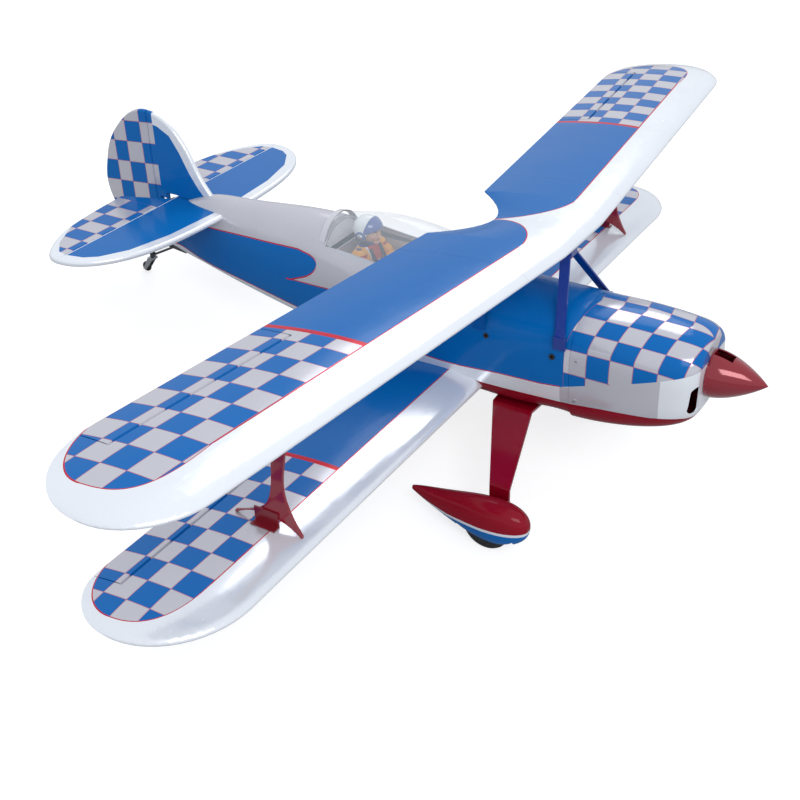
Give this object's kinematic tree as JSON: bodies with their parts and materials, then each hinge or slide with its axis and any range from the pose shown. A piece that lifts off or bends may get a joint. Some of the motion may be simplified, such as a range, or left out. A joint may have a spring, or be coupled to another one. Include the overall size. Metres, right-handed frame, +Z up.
{
  "type": "rc biplane",
  "caption": "Radio-controlled sport biplane with staggered wings, spatted main wheels, steerable tail wheel, moving control surfaces and a lift-off canopy hatch.",
  "frame": {"origin": "centre of the bounding box on the ground plane, under the model as it stands on its three wheels", "axes": "nose towards -Y, port wing towards +X, +Z up; the level flight attitude is pitched 10.77 degrees nose-up in this frame"},
  "size_m": [1.6032, 1.164, 0.4023],
  "materials": {
    "battery_wrap": "shrink wrap",
    "black_plastic": "moulded",
    "black_rubber": "matt",
    "body_film": "glossy heat-shrink covering film",
    "canopy_clear": "clear vacuum-formed plastic",
    "cast_alloy": "cast",
    "covering_film": "glossy heat-shrink covering film",
    "cowl_paint": "gloss painted glass-fibre",
    "dark_red_paint": "gloss paint",
    "hatch_paint": "gloss film over plywood",
    "hub_alloy": "moulded",
    "navy_paint": "gloss paint",
    "pant_paint": "gloss paint",
    "pilot_vinyl": "painted soft vinyl",
    "plywood": "birch plywood",
    "red_paint": "gloss paint",
    "steel_screw": "plain",
    "steel_wire": "plain",
    "tank_plastic": "blow-moulded",
    "tube_aluminium": "drawn tube",
    "tyre_rubber": "foam rubber tyre",
    "white_nylon": "moulded nylon"
  },
  "bodies": {
    "airframe": {"battery_pack": "battery_wrap", "body_screws": "steel_screw", "cabane_front": "navy_paint", "cabane_rear": "navy_paint", "engine_cowl": "cowl_paint", "engine_crankcase": "cast_alloy", "engine_cylinder": "cast_alloy", "fin": "covering_film", "firewall": "plywood", "fuel_tank": "tank_plastic", "fuselage_formers": "plywood", "fuselage_shell": "body_film", "interplane_strut_left": "red_paint", "interplane_strut_right": "red_paint", "lower_wing_left": "covering_film", "lower_wing_right": "covering_film", "main_gear": "red_paint", "muffler": "cast_alloy", "receiver": "black_plastic", "servos": "black_plastic", "side_grommets": "black_rubber", "stabiliser": "covering_film", "strut_brackets": "dark_red_paint", "tail_wheel_bracket": "steel_wire", "upper_wing_centre": "covering_film", "upper_wing_left": "covering_film", "upper_wing_right": "covering_film", "wheel_axles": "steel_wire", "wheel_pant_left": "pant_paint", "wheel_pant_right": "pant_paint", "wing_joiner_tubes": "tube_aluminium"},
    "hatch": {"canopy_glass": "canopy_clear", "hatch_frame": "hatch_paint", "instrument_panel": "black_plastic", "pilot_bust": "pilot_vinyl"},
    "elevators": {"elevator_left": "covering_film", "elevator_right": "covering_film", "elevator_joiner": "steel_wire"},
    "rudder": {"rudder": "covering_film"},
    "tail_wheel_fork": {"tail_wheel_fork": "steel_wire"},
    "tail_wheel": {"tail_wheel": "black_rubber"},
    "wheel_left": {"tyre_left": "tyre_rubber", "hub_left": "hub_alloy"},
    "wheel_right": {"tyre_right": "tyre_rubber", "hub_right": "hub_alloy"},
    "spinner": {"spinner_cone": "red_paint", "spinner_backplate": "red_paint", "drive_shaft": "steel_wire"},
    "upper_aileron_left": {"upper_aileron_left": "covering_film"},
    "upper_servo_arm_left": {"upper_servo_arm_left": "white_nylon"},
    "upper_pushrod_left": {"upper_pushrod_left": "steel_wire"},
    "upper_aileron_right": {"upper_aileron_right": "covering_film"},
    "upper_servo_arm_right": {"upper_servo_arm_right": "white_nylon"},
    "upper_pushrod_right": {"upper_pushrod_right": "steel_wire"},
    "lower_aileron_left": {"lower_aileron_left": "covering_film"},
    "lower_servo_arm_left": {"lower_servo_arm_left": "white_nylon"},
    "lower_pushrod_left": {"lower_pushrod_left": "steel_wire"},
    "lower_aileron_right": {"lower_aileron_right": "covering_film"},
    "lower_servo_arm_right": {"lower_servo_arm_right": "white_nylon"},
    "lower_pushrod_right": {"lower_pushrod_right": "steel_wire"}
  },
  "joints": [
    {"name": "upper_aileron_left_hinge", "type": "hinge", "parent": "airframe", "child": "upper_aileron_left", "pos_m": [0.424, -0.10476, 0.36194], "axis": [0.9942, 0.1055, -0.0201], "range_deg": [-22, 22]},
    {"name": "upper_servo_arm_left_turn", "type": "hinge", "parent": "airframe", "child": "upper_servo_arm_left", "pos_m": [0.57095, -0.17612, 0.37552], "axis": [0.9942, 0.1055, -0.0201], "range_deg": [-22, 22]},
    {"name": "upper_pushrod_left_pin", "type": "hinge", "parent": "upper_aileron_left", "child": "upper_pushrod_left", "pos_m": [0.5615, -0.09354, 0.34148], "axis": [0.9942, 0.1055, -0.0201], "range_deg": [-22, 22]},
    {"name": "upper_aileron_right_hinge", "type": "hinge", "parent": "airframe", "child": "upper_aileron_right", "pos_m": [-0.424, -0.10476, 0.36194], "axis": [0.9942, -0.1055, 0.0201], "range_deg": [-22, 22]},
    {"name": "upper_servo_arm_right_turn", "type": "hinge", "parent": "airframe", "child": "upper_servo_arm_right", "pos_m": [-0.57095, -0.17612, 0.37552], "axis": [0.9942, -0.1055, 0.0201], "range_deg": [-22, 22]},
    {"name": "upper_pushrod_right_pin", "type": "hinge", "parent": "upper_aileron_right", "child": "upper_pushrod_right", "pos_m": [-0.5615, -0.09354, 0.34148], "axis": [0.9942, -0.1055, 0.0201], "range_deg": [-22, 22]},
    {"name": "lower_aileron_left_hinge", "type": "hinge", "parent": "airframe", "child": "lower_aileron_left", "pos_m": [0.38, -0.06407, 0.11728], "axis": [1, 0, 0], "range_deg": [-22, 22]},
    {"name": "lower_servo_arm_left_turn", "type": "hinge", "parent": "airframe", "child": "lower_servo_arm_left", "pos_m": [0.5255, -0.15052, 0.13373], "axis": [1, 0, 0], "range_deg": [-22, 22]},
    {"name": "lower_pushrod_left_pin", "type": "hinge", "parent": "lower_aileron_left", "child": "lower_pushrod_left", "pos_m": [0.5255, -0.06743, 0.0996], "axis": [1, 0, 0], "range_deg": [-22, 22]},
    {"name": "lower_aileron_right_hinge", "type": "hinge", "parent": "airframe", "child": "lower_aileron_right", "pos_m": [-0.38, -0.06407, 0.11728], "axis": [1, 0, 0], "range_deg": [-22, 22]},
    {"name": "lower_servo_arm_right_turn", "type": "hinge", "parent": "airframe", "child": "lower_servo_arm_right", "pos_m": [-0.5255, -0.15052, 0.13373], "axis": [1, 0, 0], "range_deg": [-22, 22]},
    {"name": "lower_pushrod_right_pin", "type": "hinge", "parent": "lower_aileron_right", "child": "lower_pushrod_right", "pos_m": [-0.5255, -0.06743, 0.0996], "axis": [1, 0, 0], "range_deg": [-22, 22]},
    {"name": "elevator_hinge", "type": "hinge", "parent": "airframe", "child": "elevators", "pos_m": [0, 0.42389, 0.17271], "axis": [1, 0, 0], "range_deg": [-22, 22]},
    {"name": "rudder_hinge", "type": "hinge", "parent": "airframe", "child": "rudder", "pos_m": [0, 0.47188, 0.20022], "axis": [0, 0.1869, 0.9824], "range_deg": [-28, 28]},
    {"name": "tail_wheel_steer", "type": "hinge", "parent": "airframe", "child": "tail_wheel_fork", "pos_m": [0, 0.48024, 0.04085], "axis": [0, 0.1869, 0.9824], "range_deg": [-28, 28]},
    {"name": "tail_wheel_spin", "type": "hinge", "parent": "tail_wheel_fork", "child": "tail_wheel", "pos_m": [0, 0.4925, 0.009], "axis": [1, 0, 0], "continuous": true},
    {"name": "wheel_spin_left", "type": "hinge", "parent": "airframe", "child": "wheel_left", "pos_m": [0.211, -0.32079, 0.036], "axis": [1, 0, 0], "continuous": true},
    {"name": "wheel_spin_right", "type": "hinge", "parent": "airframe", "child": "wheel_right", "pos_m": [-0.211, -0.32079, 0.036], "axis": [1, 0, 0], "continuous": true},
    {"name": "spinner_spin", "type": "hinge", "parent": "airframe", "child": "spinner", "pos_m": [0, -0.50832, 0.28087], "axis": [0, 0.9824, -0.1869], "continuous": true},
    {"name": "hatch_lift", "type": "slide", "parent": "airframe", "child": "hatch", "axis": [0, 0.1869, 0.9824], "range_m": [0, 0.05]}
  ],
  "couplings": [
    {"joint": "upper_servo_arm_left_turn", "follows": "upper_aileron_left_hinge", "ratio": 1},
    {"joint": "upper_pushrod_left_pin", "follows": "upper_aileron_left_hinge", "ratio": -1},
    {"joint": "upper_aileron_right_hinge", "follows": "upper_aileron_left_hinge", "ratio": -1},
    {"joint": "upper_servo_arm_right_turn", "follows": "upper_aileron_left_hinge", "ratio": -1},
    {"joint": "upper_pushrod_right_pin", "follows": "upper_aileron_left_hinge", "ratio": 1},
    {"joint": "lower_aileron_left_hinge", "follows": "upper_aileron_left_hinge", "ratio": 1},
    {"joint": "lower_servo_arm_left_turn", "follows": "upper_aileron_left_hinge", "ratio": 1},
    {"joint": "lower_pushrod_left_pin", "follows": "upper_aileron_left_hinge", "ratio": -1},
    {"joint": "lower_aileron_right_hinge", "follows": "upper_aileron_left_hinge", "ratio": -1},
    {"joint": "lower_servo_arm_right_turn", "follows": "upper_aileron_left_hinge", "ratio": -1},
    {"joint": "lower_pushrod_right_pin", "follows": "upper_aileron_left_hinge", "ratio": 1},
    {"joint": "tail_wheel_steer", "follows": "rudder_hinge", "ratio": 1}
  ]
}
